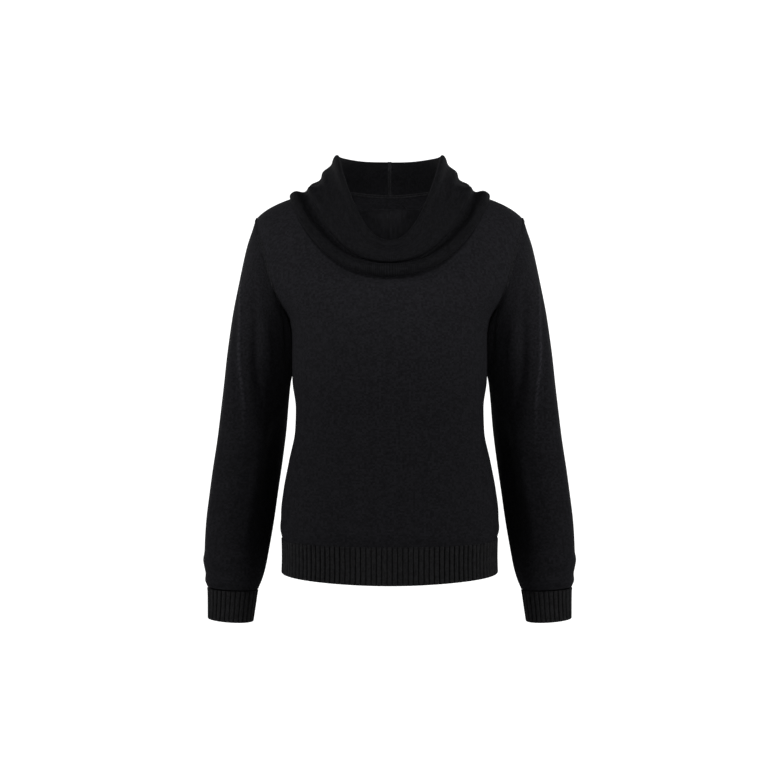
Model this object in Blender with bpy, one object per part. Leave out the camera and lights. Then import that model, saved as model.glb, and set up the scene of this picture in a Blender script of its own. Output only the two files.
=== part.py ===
"""A cowl neck sweater, filled out as if it were worn, with nobody in it.

The frame: metres, +Z up, the front of the sweater towards -Y and the wearer's left at +X.
The origin is midway between the two points where the shoulder seams meet the neckline.
Sizes in the tables are in millimetres. Heights are measured from the origin, up.
"""

import bmesh
import bpy
import numpy as np

MM = 0.001

# Cloth and seams
CLOTH = 2.0
RIB_CLOTH = 1.6
RIB_RISE = 1.3
SEAM_GAP = 0.3

# Lengths of the garment, down from the origin
HEM_RIB_TOP = -542.0
HEM_SIDE = -595.0
HEM_FRONT_DIP = 5.0
HEM_BACK_DIP = 3.0
UNDERARM = -205.0
SHOULDER_TIP = -50.0
NECK_FRONT = -66.0
NECK_BACK = -9.5
CUFF_TOP = -620.0

# Edges sharper than this stay sharp, in radians
SHARP_ANGLE = 0.9

# Number of ribs and of sections
HEM_RIBS_HALF = 59
CUFF_RIBS = 28
PANEL_COLUMNS = 23
ARMHOLE_POINTS = 10
SLEEVE_RINGS = 19

# How square the torso's level sections are: 2 is an ellipse
SQUARENESS = 2.35

KNIT_COLOUR = (0.012, 0.012, 0.014, 1.0)
RIB_COLOUR = (0.010, 0.010, 0.011, 1.0)


def table(columns, *rows):
    """A small table as a dictionary of columns."""
    return {name: np.array(values, float) for name, values in zip(columns.split(), zip(*rows))}


# Level sections of the body, from the neck down to the hem
TORSO = table(
    "height half_width front back",
    (60, 40, 40, 40),
    (12, 62, 44, 60),
    (0, 86, 52, 66),
    (-9.5, 118, 57, 70),
    (-18.6, 151, 61, 73),
    (-31, 180.5, 66, 78),
    (-40, 194.5, 69.5, 81),
    (-50, 205, 73, 84),
    (-66, 208.5, 80, 89),
    (-90, 208, 89.5, 95),
    (-115, 204, 98, 100),
    (-145, 195, 107.5, 103.5),
    (-175, 174.5, 116, 105),
    (-205, 154, 122, 104.5),
    (-225, 149, 123.5, 103),
    (-250, 148.0, 122, 100.5),
    (-272, 148.2, 119, 97.5),
    (-298, 147.3, 115, 94.5),
    (-340, 144, 107, 90.5),
    (-375, 145.5, 103, 91),
    (-422, 155, 106, 97),
    (-468, 164, 112, 103.5),
    (-505, 168, 116.5, 107),
    (-530, 167, 117.5, 108),
    (-542, 166, 117, 107.5),
    (-570, 165.5, 116.5, 107),
    (-602, 166.5, 117, 107.5),
)

# Where the armhole's edge lies on the front and on the back, measured out from the centre
ARMHOLE = table(
    "height front back",
    (-50, 205, 205),
    (-66, 202.5, 204),
    (-87, 195, 199.5),
    (-115, 186.5, 193),
    (-145, 179, 186),
    (-175, 168, 172),
    (-195, 159.5, 160.5),
    (-205, 154, 154),
)

# The heights of a panel's rows at its side seam and at its shoulder seam
SIDE_ROWS = (-541.85, -498, -455, -412, -370, -332, -298, -272, -247, -226, -213)
SHOULDER_ROWS = (-38, -27, -17, -8, -0.15)

# The height of a panel's row at its side, and at its centre
ROW_LEVELS = table(
    "side front_centre back_centre",
    (-542, -542, -542),
    (-205, -228, -215),
    (-50, -112, -62),
    (0, -66, -9.5),
)

# The sleeve's outer edge and its inner edge, as seen from the front
SLEEVE_OUTER = table(
    "height out",
    (-50, 205),
    (-56, 208),
    (-66, 211),
    (-88, 218.3),
    (-112, 224),
    (-158, 233.5),
    (-205, 241.8),
    (-251, 248.2),
    (-298, 253.3),
    (-375, 262.5),
    (-468, 275.7),
    (-515, 281.3),
    (-561, 285),
    (-589, 286),
    (-608, 283.5),
    (-622, 280.2),
    (-671, 279.5),
)
SLEEVE_INNER = table(
    "height out",
    (-205, 156.7),
    (-225, 152.3),
    (-250, 151.1),
    (-272, 151.2),
    (-298, 152.5),
    (-329, 156.6),
    (-375, 163.3),
    (-422, 169.5),
    (-468, 175.6),
    (-515, 182),
    (-561, 189),
    (-589, 194),
    (-608, 199.5),
    (-622, 205),
    (-645, 208.5),
    (-671, 212.5),
)

# The sleeve's sections, from the armhole to the top of the cuff
SLEEVE = table(
    "along outer_height inner_height half_depth centre",
    (0.00, -50, -205, 48, -3),
    (0.10, -73, -209, 50, -2),
    (0.22, -112, -222, 51.5, 0),
    (0.36, -178, -256, 52, 3),
    (0.52, -280, -335, 50.5, 7),
    (0.68, -392, -430, 47, 5),
    (0.82, -498, -522, 43, -2),
    (0.91, -565, -581, 40, -8),
    (0.96, -598, -607, 34.5, -11),
    (1.00, -618, -622, 28, -13),
)
CUFF = table(
    "along outer_height inner_height half_depth centre",
    (0.0, -618.3, -622.3, 27, -13),
    (0.5, -642, -646, 26, -15),
    (1.0, -665.5, -670.5, 27, -17),
)

# The collar's rings, from the neck seam to the free edge that is rolled under.
# Each is given at the side (out, height), at the front and at the back (forward or back, height).
# Clear is its distance from the body, and square how far the ring is from an ellipse.
# At the front the ring drops as a power of the sine of its angle (droop). Lift lets it drop
# later and then run level, and steep makes it follow the neckline.
COLLAR = table(
    "side_out side_height front_out front_height back_out back_height clear square droop lift steep",
    (83.5, 8.0, 77.5, -58.0, 72.5, -4.0, 0, 0.20, 2.0, 2.0, 1.0),
    (82.5, 14.0, 78.0, -50.0, 73.0, 4.0, 0, 0.20, 2.0, 2.0, 0.55),
    (81.5, 19.0, 80.5, -44.5, 73.0, 11.5, 0, 0.18, 2.0, 2.0, 0.25),
    (80.5, 23.5, 85.0, -42.3, 72.7, 18.0, 0, 0.15, 1.95, 2.0, 0),
    (79.5, 27.5, 90.5, -46.0, 72.3, 24.0, 0, 0.15, 1.9, 1.9, 0),
    (78.8, 31.0, 94.0, -60.0, 72.0, 29.0, 0, 0.14, 2.0, 1.3, 0),
    (78.3, 34.3, 98.0, -79.0, 71.8, 33.0, 0, 0.12, 2.15, 0.8, 0),
    (78.0, 37.3, 102.0, -97.0, 72.0, 36.5, 0, 0.10, 2.2, 0.5, 0),
    (77.9, 40.3, 107.5, -104.5, 72.4, 39.5, 0, 0.08, 2.2, 0.3, 0),
    (78.0, 43.5, 112.5, -99.5, 73.2, 42.2, 0, 0.06, 2.1, 0, 0),
    (78.6, 46.5, 115.2, -93.0, 74.8, 44.8, 0, 0.06, 2.0, 0, 0),
    (81.0, 48.3, 119.2, -89.8, 78.5, 46.3, 3, 0.06, 2.0, 0, 0),
    (84.8, 45.2, 124.0, -92.2, 84.0, 44.0, 3, 0.06, 2.0, 0, 0),
    (87.2, 39.5, 126.0, -96.0, 88.5, 37.0, 3, 0.06, 2.0, 0, 0),
    (89.6, 33.2, 126.0, -99.8, 91.5, 28.5, 4, 0.07, 2.0, 0, 0),
    (97.0, 27.0, 128.2, -103.0, 95.5, 20.5, 5, 0.08, 2.0, 0, 0),
    (103.5, 20.6, 130.0, -106.5, 99.0, 11.0, 6, 0.09, 1.9, 0, 0),
    (105.5, 12.8, 131.0, -110.0, 101.0, 1.0, 6, 0.10, 1.9, 0, 0),
    (112.0, 7.6, 131.3, -113.3, 104.5, -8.5, 6, 0.11, 1.8, 0, 0),
    (120.5, 3.6, 130.5, -117.0, 107.5, -19.0, 6, 0.12, 1.8, 0, 0),
    (124.5, -1.8, 127.5, -119.8, 107.5, -29.5, 6, 0.13, 1.7, 0, 0),
    (127.8, -6.4, 121.5, -120.0, 105.0, -36.5, 3.8, 0.14, 1.7, 0, 0),
    (131.7, -9.6, 118.2, -122.0, 104.0, -40.5, 3.2, 0.15, 1.7, 0, 0),
    (136.0, -9.4, 120.7, -124.4, 106.0, -44.0, 4.2, 0.15, 1.6, 0, 0),
    (141.5, -10.0, 126.2, -124.2, 110.5, -47.0, 5.6, 0.15, 1.5, 0, 0),
    (147.0, -11.8, 131.2, -127.0, 114.5, -53.0, 5.6, 0.15, 1.5, 0, 0),
    (151.5, -14.8, 132.8, -132.8, 115.0, -61.0, 4.2, 0.15, 1.5, 0, 0),
    (149.5, -15.5, 129.0, -138.8, 110.5, -67.0, 2.9, 0.15, 1.5, 0, 0),
    (144.5, -14.5, 121.5, -140.2, 103.5, -66.5, 2.9, 0.15, 1.5, 0, 0),
    (140.0, -13.5, 115.5, -136.5, 98.5, -61.0, 2.9, 0.15, 1.5, 0, 0),
)
COLLAR_SEAM = 0.6
# The folds stand further off the body over the front of the shoulder, by this share
FULLER = 0.9


def curve(columns, x_name, y_name):
    """A smooth function through two columns of a table that never overshoots its points."""
    order = np.argsort(columns[x_name])
    x, y = columns[x_name][order], columns[y_name][order]
    step, slope = np.diff(x), np.diff(y) / np.diff(x)
    same_way = slope[:-1] * slope[1:] > 0
    safe = np.where(same_way, slope[:-1] * slope[1:], 1.0)
    total = np.where(same_way, slope[:-1] + slope[1:], 1.0)
    inner = np.where(same_way, 2 * safe / total, 0.0)
    tangent = np.concatenate([slope[:1], inner, slope[-1:]])

    def at(value):
        value = np.clip(np.asarray(value, float), x[0], x[-1])
        i = np.clip(np.searchsorted(x, value, side="right") - 1, 0, len(step) - 1)
        t = (value - x[i]) / step[i]
        rise = y[i + 1] - y[i]
        start = step[i] * tangent[i]
        end = step[i] * tangent[i + 1]
        return y[i] + t * (start + t * (3 * rise - 2 * start - end + t * (start + end - 2 * rise)))

    return at


half_width = curve(TORSO, "height", "half_width")
front_depth = curve(TORSO, "height", "front")
back_depth = curve(TORSO, "height", "back")


def body_point(angle, height, front):
    """A point of the body's form. The angle is 0 at the side seam and a quarter turn at the centre."""
    depth = front_depth(height) if front else back_depth(height)
    across, forward = np.cos(angle), np.sin(angle)
    power = SQUARENESS
    radius = ((across / half_width(height)) ** power + (forward / depth) ** power) ** (-1 / power)
    return np.stack([radius * across, (-1 if front else 1) * radius * forward, height], axis=-1)


def edge_angle(out, height, front):
    """The angle at which the body's form is this far out from the centre."""
    depth = front_depth(height) if front else back_depth(height)
    share = np.clip(out / half_width(height), 0, 1)
    return np.arctan2(depth * (1 - share**SQUARENESS) ** (1 / SQUARENESS), out)


def spaced(points, count):
    """Points at even distances along a line of points."""
    steps = np.linalg.norm(np.diff(points, axis=0), axis=1)
    along = np.concatenate([[0], np.cumsum(steps)])
    wanted = np.linspace(0, along[-1], count)
    return np.stack([np.interp(wanted, along, points[:, k]) for k in range(3)], axis=-1)


def steep_share(angle):
    """Goes from 0 at the side to 1 at the centre, late at first and then steeply."""
    return np.sin(np.pi / 2 * np.sin(angle) ** 2) ** 2.6


def neck_height(angle, front):
    """The height of the neckline at an angle from the side."""
    return NECK_FRONT * steep_share(angle) if front else NECK_BACK * np.sin(angle) ** 2


def armhole_edge(height, front):
    """The armhole's edge at a height, on the body's form."""
    out = curve(ARMHOLE, "height", "front" if front else "back")(height)
    return body_point(edge_angle(out, height, front), height, front)


def armhole_heights():
    """Heights down the armhole, from the underarm to the shoulder, at even distances along its edge."""
    height = np.linspace(UNDERARM, SHOULDER_TIP, 200)
    steps = np.linalg.norm(np.diff(armhole_edge(height, True), axis=0), axis=1)
    along = np.concatenate([[0], np.cumsum(steps)])
    return np.interp(np.linspace(0, along[-1], ARMHOLE_POINTS), along, height)


def panel_row(side_height, front):
    """Half of one row of the front or the back, from its side or armhole to the centre."""
    edge = 0.0
    if UNDERARM < side_height < SHOULDER_TIP:
        out = curve(ARMHOLE, "height", "front" if front else "back")(side_height)
        edge = float(edge_angle(out, side_height, front))
    centre_name = "front_centre" if front else "back_centre"
    centre_height = curve(ROW_LEVELS, "side", centre_name)(side_height)
    angle = np.linspace(edge, np.pi / 2, 200)
    turn = (angle - edge) / (np.pi / 2 - edge) * np.pi / 2
    into_neck = np.clip((side_height - SHOULDER_TIP) / -SHOULDER_TIP, 0, 1)
    share = np.sin(turn) ** 2
    if front:
        share += into_neck * (steep_share(turn) - share)
    height = side_height + (centre_height - side_height) * share
    return body_point(angle, height, front)


def panel_grid(front):
    """Rows of points over the front or the back, from hem rib to neckline."""
    rows = []
    for height in np.concatenate([SIDE_ROWS, armhole_heights(), SHOULDER_ROWS]):
        half = spaced(panel_row(height, front), PANEL_COLUMNS // 2 + 1)
        mirrored = half[-2::-1] * (-1, 1, 1)
        rows.append(np.concatenate([half, mirrored]))
    grid = np.array(rows)
    grid[..., 1] += (-1 if front else 1) * SEAM_GAP / 2
    return grid


def armhole_loop():
    """The armhole's edge as a closed loop: from the shoulder down the front and up the back."""
    height = armhole_heights()
    return np.concatenate([armhole_edge(height[::-1], True), armhole_edge(height[1:-1], False)])


def sleeve_section(columns, along, turn):
    """One section across the sleeve or the cuff. A turn of 0 is its outer edge, pi its inner one."""
    outer_height = curve(columns, "along", "outer_height")(along)
    inner_height = curve(columns, "along", "inner_height")(along)
    outer = np.array([curve(SLEEVE_OUTER, "height", "out")(outer_height), 0, outer_height])
    inner = np.array([curve(SLEEVE_INNER, "height", "out")(inner_height), 0, inner_height])
    centre = (outer + inner) / 2 + (0, curve(columns, "along", "centre")(along), 0)
    depth = curve(columns, "along", "half_depth")(along)
    across = np.cos(turn)[:, None] * (outer - inner) / 2
    forward = np.sin(turn)[:, None] * np.array([0, -depth, 0])
    return centre + across + forward


def sleeve_grid():
    """Rings of points down the left sleeve. The first ring lies beside the armhole's edge."""
    loop = armhole_loop()
    turn = np.linspace(0, 2 * np.pi, len(loop), endpoint=False)
    beside = 0.5 + 2.2 * (1 - np.cos(turn)) / 2
    from_ellipse = loop + beside[:, None] * (1, 0, 0) - sleeve_section(SLEEVE, 0.0, turn)
    rings = []
    for along in np.linspace(0, 1, SLEEVE_RINGS):
        fade = max(0.0, 1 - along / 0.34) ** 2
        rings.append(sleeve_section(SLEEVE, along, turn) + fade * from_ellipse)
    return np.array(rings)


def form_distance(points):
    """How far points lie outside the body's form, and the directions straight out of it."""

    def inside_out(p):
        depth = np.where(p[..., 1] < 0, front_depth(p[..., 2]), back_depth(p[..., 2]))
        across = np.abs(p[..., 0]) / half_width(p[..., 2])
        forward = np.abs(p[..., 1]) / depth
        return (across**SQUARENESS + forward**SQUARENESS) ** (1 / SQUARENESS) - 1

    shift = np.eye(3) * 0.05
    slope = np.stack([(inside_out(points + s) - inside_out(points - s)) / 0.1 for s in shift], -1)
    steepness = np.linalg.norm(slope, axis=-1)
    return inside_out(points) / steepness, slope / steepness[..., None]


def off_body(points, clearance):
    """Moves points that are nearer to the body's form than the clearance straight out from it."""
    for _ in range(6):
        distance, out = form_distance(points)
        points = points + out * np.maximum(0, clearance - distance)[..., None]
    return points


def neckline():
    """The edges of the front and the back at the neck as a closed loop, from the left shoulder."""
    front, back = panel_grid(True)[-1], panel_grid(False)[-1]
    loop = np.concatenate([front, back[-2:0:-1]])
    loop[[0, len(front) - 1], 1] = 0
    return loop


def collar_grid():
    """Rings of points up from the neck seam, over the turn and down the folds to the free edge."""
    seam = neckline()
    turn = np.arctan2(-seam[:, 1], seam[:, 0])
    across, forward = np.cos(turn), np.sin(turn)
    front = seam[:, 1] < 0
    edge = np.roll(seam, -1, axis=0) - np.roll(seam, 1, axis=0)
    up = np.cross(form_distance(seam)[1], edge)
    up *= np.sign(up[:, 2:]) / np.linalg.norm(up, axis=1)[:, None]
    fuller = 1 + FULLER * np.where(front, np.abs(np.sin(2 * turn)), 0)
    rings = [seam + up * COLLAR_SEAM]
    for k in range(len(COLLAR["side_out"])):
        ring = {name: values[k] for name, values in COLLAR.items()}
        depth = np.where(front, ring["front_out"], ring["back_out"])
        centre_height = np.where(front, ring["front_height"], ring["back_height"])
        level = forward**2
        droop = np.abs(forward) ** ring["droop"] + ring["lift"] * level**3 * (1 - level)
        droop = np.minimum(1, droop) * (1 - ring["steep"]) + steep_share(turn) * ring["steep"]
        share = np.where(front, droop, level)
        power = 1 - ring["square"]
        x = ring["side_out"] * np.sign(across) * np.abs(across) ** power
        y = -depth * np.sign(forward) * np.abs(forward) ** power
        z = ring["side_height"] + (centre_height - ring["side_height"]) * share
        points = np.stack([x, y, z], axis=-1)
        if ring["clear"]:
            points = off_body(points, ring["clear"] * fuller)
        rings.append(points)
    return np.array(rings)


def tube_normals(grid, at_seam, share):
    """The directions out of a tube of points, made longer at bends to keep the cloth's thickness.
    In the first ring they turn towards the directions at the seam, by a share."""
    beside = np.roll(grid, -1, axis=1)
    face = np.cross(beside[1:] - grid[:-1], grid[1:] - beside[:-1])
    face /= np.linalg.norm(face, axis=-1)[..., None]
    rows = len(grid)
    around = []
    for down in (0, 1):
        side = face[np.clip(np.arange(rows) - down, 0, rows - 2)]
        around += [side, np.roll(side, 1, axis=1)]
    normal = sum(around)
    normal /= np.linalg.norm(normal, axis=-1)[..., None]
    facing = sum((normal * side).sum(-1) for side in around) / 4
    normal *= np.sign((normal[0] * at_seam * share).sum())
    first = normal[0] * (1 - share) + at_seam * share
    normal /= np.clip(facing, 0.75, 1)[..., None]
    normal[0] = first / np.linalg.norm(first, axis=-1)[:, None]
    return normal


def outward(ring, closed):
    """Level directions that point out of a ring of points."""
    if closed:
        along = np.roll(ring, -1, axis=0) - np.roll(ring, 1, axis=0)
    else:
        along = np.gradient(ring, axis=0)
    out = np.stack([along[:, 1], -along[:, 0], np.zeros(len(ring))], axis=-1)
    out /= np.linalg.norm(out, axis=1)[:, None]
    away = ring[:, :2] - ring[:, :2].mean(axis=0)
    return out if (out[:, :2] * away).sum() > 0 else -out


def rib_positions(ribs, closed):
    """Where a rib band's points lie along it, and how high they stand. A rib has one groove and two tops."""
    where, rise = [], []
    for rib in range(ribs):
        where += [rib, rib + 0.2, rib + 0.76]
        rise += [0.0, RIB_RISE, RIB_RISE]
    if not closed:
        where.append(ribs)
        rise.append(0.0)
    return np.array(where) / ribs, np.array(rise)


def hem_rows(front):
    """Lines of points around half of the hem rib, at its top, its middle and its lower edge."""
    dip = HEM_FRONT_DIP if front else HEM_BACK_DIP
    angle = np.linspace(0, np.pi / 2, 200)
    rows = []
    for share in (0.0, 0.5, 1.0):
        top = HEM_RIB_TOP - SEAM_GAP / 2
        height = top + (HEM_SIDE - dip * np.sin(angle) ** 2 - top) * share
        half = body_point(angle, height, front)
        rows.append(np.concatenate([half, half[-2::-1] * (-1, 1, 1)]))
    rows = np.array(rows)
    rows[..., 1] += (-1 if front else 1) * SEAM_GAP / 2
    return rows


def at_shares(line, shares):
    """Points at shares of the length of a line of points."""
    steps = np.linalg.norm(np.diff(line, axis=0), axis=1)
    along = np.concatenate([[0], np.cumsum(steps)]) / steps.sum()
    return np.stack([np.interp(shares, along, line[:, k]) for k in range(3)], axis=-1)


def material(name, colour, roughness):
    made = bpy.data.materials.new(name)
    made.use_nodes = True
    shader = made.node_tree.nodes["Principled BSDF"]
    shader.inputs["Base Color"].default_value = colour
    shader.inputs["Roughness"].default_value = roughness
    shader.inputs["Metallic"].default_value = 0.0
    made.diffuse_color = colour
    return made


def cloth_piece(name, grid, normals, closed, look, mirror=False):
    """A wall of cloth over rows of points: a sheet, or a tube where closed."""
    turn = (-1, 1, 1) if mirror else (1, 1, 1)
    rows, columns = grid.shape[:2]
    model = bmesh.new()
    sides = []
    for way in (1, -1):
        points = (grid + way * normals * CLOTH / 2) * turn
        sides.append([[model.verts.new(p * MM) for p in row] for row in points])
    for side in sides:
        for i in range(rows - 1):
            for j in range(columns if closed else columns - 1):
                k = (j + 1) % columns
                model.faces.new((side[i][j], side[i][k], side[i + 1][k], side[i + 1][j]))
    outer, inner = sides
    for i in (0, -1):
        for j in range(columns if closed else columns - 1):
            k = (j + 1) % columns
            model.faces.new((outer[i][j], outer[i][k], inner[i][k], inner[i][j]))
    if not closed:
        for j in (0, -1):
            for i in range(rows - 1):
                model.faces.new((outer[i][j], outer[i + 1][j], inner[i + 1][j], inner[i][j]))
    return finish_piece(name, model, look)


def finish_piece(name, model, look):
    bmesh.ops.recalc_face_normals(model, faces=model.faces)
    mesh = bpy.data.meshes.new(name)
    model.to_mesh(mesh)
    model.free()
    mesh.materials.append(look)
    mesh.shade_smooth()
    mesh.set_sharp_from_angle(angle=SHARP_ANGLE)
    made = bpy.data.objects.new(name, mesh)
    bpy.context.scene.collection.objects.link(made)
    return made


def ribbed_piece(name, rows, ribs, closed, look, mirror=False):
    """A rib band: raised ribs outside over a plain inside, on lines of points from its top down."""
    shares, rise = rib_positions(ribs, closed)
    per_rib = 3
    outer, inner = [], []
    for row in rows:
        line = np.concatenate([row, row[:1]]) if closed else row
        base = at_shares(line, shares)
        away = outward(base, closed)
        outer.append(base + away * rise[:, None])
        inner.append((base - away * RIB_CLOTH)[::per_rib])
    turn = (-1, 1, 1) if mirror else (1, 1, 1)
    model = bmesh.new()
    skin = [[model.verts.new(p * turn * MM) for p in ring] for ring in outer]
    back = [[model.verts.new(p * turn * MM) for p in ring] for ring in inner]
    for side, count in ((skin, len(skin[0])), (back, len(back[0]))):
        for upper, lower in zip(side, side[1:]):
            for j in range(count if closed else count - 1):
                k = (j + 1) % count
                model.faces.new((upper[j], upper[k], lower[k], lower[j]))
    for edge, lining in ((skin[0], back[0]), (skin[-1], back[-1])):
        for rib in range(ribs):
            first, here = rib * per_rib, lining[rib]
            after = lining[(rib + 1) % len(lining)]
            for j in range(first, first + per_rib):
                model.faces.new((edge[j], edge[(j + 1) % len(edge)], here))
            model.faces.new((edge[(first + per_rib) % len(edge)], after, here))
    if not closed:
        for end in (0, -1):
            for row in range(len(skin) - 1):
                model.faces.new((skin[row][end], skin[row + 1][end], back[row + 1][end], back[row][end]))
    return finish_piece(name, model, look)


def clear_scene():
    for made in list(bpy.data.objects):
        bpy.data.objects.remove(made)


def build():
    clear_scene()
    knit = material("knit", KNIT_COLOUR, 0.9)
    rib = material("rib_knit", RIB_COLOUR, 0.9)
    for name, front in (("front", True), ("back", False)):
        panel = panel_grid(front)
        cloth_piece(name, panel, form_distance(panel)[1], False, knit)
        ribbed_piece("hem_rib_" + name, hem_rows(front), HEM_RIBS_HALF, False, rib)
    sleeve = sleeve_grid()
    turn = np.linspace(0, 2 * np.pi, sleeve.shape[1], endpoint=False)
    along_body = ((1 + np.cos(turn)) / 2)[:, None]
    normals = tube_normals(sleeve, form_distance(armhole_loop())[1], along_body)
    normals[-1] = outward(sleeve[-1], True)
    turn = np.linspace(0, 2 * np.pi, 200, endpoint=False)
    cuff = np.array([sleeve_section(CUFF, along, turn) for along in CUFF["along"]])
    for side, mirror in (("left", False), ("right", True)):
        cloth_piece("sleeve_" + side, sleeve, normals, True, knit, mirror)
        ribbed_piece("cuff_" + side, cuff, CUFF_RIBS, True, rib, mirror)
    collar = collar_grid()
    cloth_piece("collar", collar, tube_normals(collar, form_distance(collar[0])[1], 1.0), True, knit)


build()
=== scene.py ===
"""A cowl neck sweater in fine black knit, filled out as if it were worn, with nobody in it.

Metres in the frame of the solids: +Z up, the front towards -Y, the wearer's left at +X. Sizes in
the tables are in millimetres, and heights are measured from the point midway between the two
places where the shoulder seams meet the neckline.
"""

import math

import bpy
import numpy as np
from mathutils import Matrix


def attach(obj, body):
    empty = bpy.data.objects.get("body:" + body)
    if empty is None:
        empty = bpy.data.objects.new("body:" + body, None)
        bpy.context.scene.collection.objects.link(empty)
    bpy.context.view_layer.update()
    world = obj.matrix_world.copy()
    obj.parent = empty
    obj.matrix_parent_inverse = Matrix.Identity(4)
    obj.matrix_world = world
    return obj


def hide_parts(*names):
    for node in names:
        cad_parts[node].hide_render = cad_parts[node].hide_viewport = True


bl_info = {
    "name": "Cowl Neck Sweater",
    "version": (1, 0, 0),
    "blender": (4, 2, 0),
    "location": "View3D > Sidebar > Sweater",
    "description": "Makes the knitted pieces, the linked seams and the stage of a cowl neck sweater",
    "category": "Object",
}

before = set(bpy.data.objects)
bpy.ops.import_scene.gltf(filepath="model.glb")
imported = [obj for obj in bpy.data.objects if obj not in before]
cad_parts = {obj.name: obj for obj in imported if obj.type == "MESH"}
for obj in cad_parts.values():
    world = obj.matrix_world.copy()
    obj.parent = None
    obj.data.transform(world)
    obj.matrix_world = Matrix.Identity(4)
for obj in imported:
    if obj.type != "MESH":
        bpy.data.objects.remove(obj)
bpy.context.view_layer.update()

MM = 0.001
CLOTH_MAP = "cloth"

# Lengths of the garment, down from the origin
HEM_RIB_TOP = -542.0
HEM_SIDE = -595.0
HEM_FRONT_DIP = 5.0
HEM_BACK_DIP = 3.0
UNDERARM = -205.0
SHOULDER_TIP = -50.0
SEAM_GAP = 0.3

# How finely the pieces are made
PANEL_COLUMNS = 161
SIDE_ROWS = 112
ARMHOLE_ROWS = 60
SHOULDER_ROWS = 16
SLEEVE_ROWS = 170
COLLAR_ROWS = 176
COLLAR_HALF = 116

HEM_RIBS_HALF = 59
CUFF_RIBS = 28
RIB_ACROSS = (0.0, 0.06, 0.13, 0.24, 0.38, 0.5, 0.62, 0.76, 0.87, 0.94)
RIB_PROFILE = (0.0, 0.3, 0.72, 0.93, 1.0, 1.0, 1.0, 0.93, 0.72, 0.3)
RIB_WALES = 3

# How square the torso's level sections are: 2 is an ellipse
SQUARENESS = 2.35


def table(columns, *rows):
    """A small table as a dictionary of columns."""
    return {name: np.array(values, float) for name, values in zip(columns.split(), zip(*rows))}


# Level sections of the body, from the neck down to the hem
TORSO = table(
    "height half_width front back",
    (60, 40, 40, 40),
    (12, 62, 44, 60),
    (0, 86, 52, 66),
    (-9.5, 118, 57, 70),
    (-18.6, 151, 61, 73),
    (-31, 180.5, 66, 78),
    (-40, 194.5, 69.5, 81),
    (-50, 205, 73, 84),
    (-66, 208.5, 80, 89),
    (-90, 208, 89.5, 95),
    (-115, 204, 98, 100),
    (-145, 195, 107.5, 103.5),
    (-175, 174.5, 116, 105),
    (-205, 154, 122, 104.5),
    (-214, 152, 123, 104),
    (-225, 150, 123.5, 103),
    (-250, 149.8, 122, 100.5),
    (-272, 150, 119, 97.5),
    (-298, 149.6, 115, 94.5),
    (-340, 144.5, 107, 90.5),
    (-375, 145.5, 103, 91),
    (-422, 155, 106, 97),
    (-468, 164, 112, 103.5),
    (-505, 168, 116.5, 107),
    (-530, 167, 117.5, 108),
    (-542, 166, 117, 107.5),
    (-570, 165.5, 116.5, 107),
    (-602, 166.5, 117, 107.5),
)

# Where the armhole's edge lies on the front and on the back, measured out from the centre
ARMHOLE = table(
    "height front back",
    (-50, 205, 205),
    (-66, 202.5, 204),
    (-87, 195, 199.5),
    (-115, 186.5, 193),
    (-145, 179, 186),
    (-175, 168, 172),
    (-195, 159.5, 160.5),
    (-205, 154, 154),
)

# The height of a panel's row at its side, and at its centre
ROW_LEVELS = table(
    "side front_centre back_centre",
    (-542, -542, -542),
    (-205, -228, -215),
    (-50, -112, -62),
    (0, -66, -9.5),
)

# The sleeve's outer edge and its inner edge, as seen from the front
SLEEVE_OUTER = table(
    "height out",
    (-50, 205),
    (-56, 208),
    (-66, 211),
    (-88, 218.3),
    (-112, 224),
    (-158, 233.5),
    (-205, 241.8),
    (-251, 248.2),
    (-298, 253.3),
    (-375, 262.5),
    (-468, 275.7),
    (-515, 281.3),
    (-561, 285),
    (-589, 286),
    (-608, 283.5),
    (-622, 280.2),
    (-671, 279.5),
)
SLEEVE_INNER = table(
    "height out",
    (-205, 154.8),
    (-209, 153.8),
    (-214, 152.7),
    (-225, 151.2),
    (-250, 151.1),
    (-272, 151.2),
    (-285, 151.9),
    (-298, 155),
    (-329, 158.8),
    (-375, 163.3),
    (-422, 169.5),
    (-468, 175.6),
    (-515, 182),
    (-561, 189),
    (-589, 194),
    (-608, 199.5),
    (-622, 205),
    (-645, 208.5),
    (-671, 212.5),
)

# The sleeve's sections, from the armhole to the top of the cuff
SLEEVE = table(
    "along outer_height inner_height half_depth centre",
    (0.00, -50, -205, 48, -3),
    (0.10, -73, -209, 50, -2),
    (0.22, -112, -222, 51.5, 0),
    (0.36, -178, -256, 52, 3),
    (0.52, -280, -335, 50.5, 7),
    (0.68, -392, -430, 47, 5),
    (0.82, -498, -522, 43, -2),
    (0.91, -565, -581, 40, -8),
    (0.96, -598, -607, 34.5, -11),
    (1.00, -618, -622, 28, -13),
)
CUFF = table(
    "along outer_height inner_height half_depth centre",
    (0.0, -618.3, -622.3, 27, -13),
    (0.5, -642, -646, 26, -15),
    (1.0, -665.5, -670.5, 27, -17),
)

# How far the sleeve's outer edge lies forward of its middle, and its inner edge back from it
SWING = table(
    "along forward",
    (0, 0),
    (0.2, 3),
    (0.38, 12),
    (0.5, 22),
    (0.62, 28),
    (0.8, 26),
    (0.93, 8),
    (1, 0),
)

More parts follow.
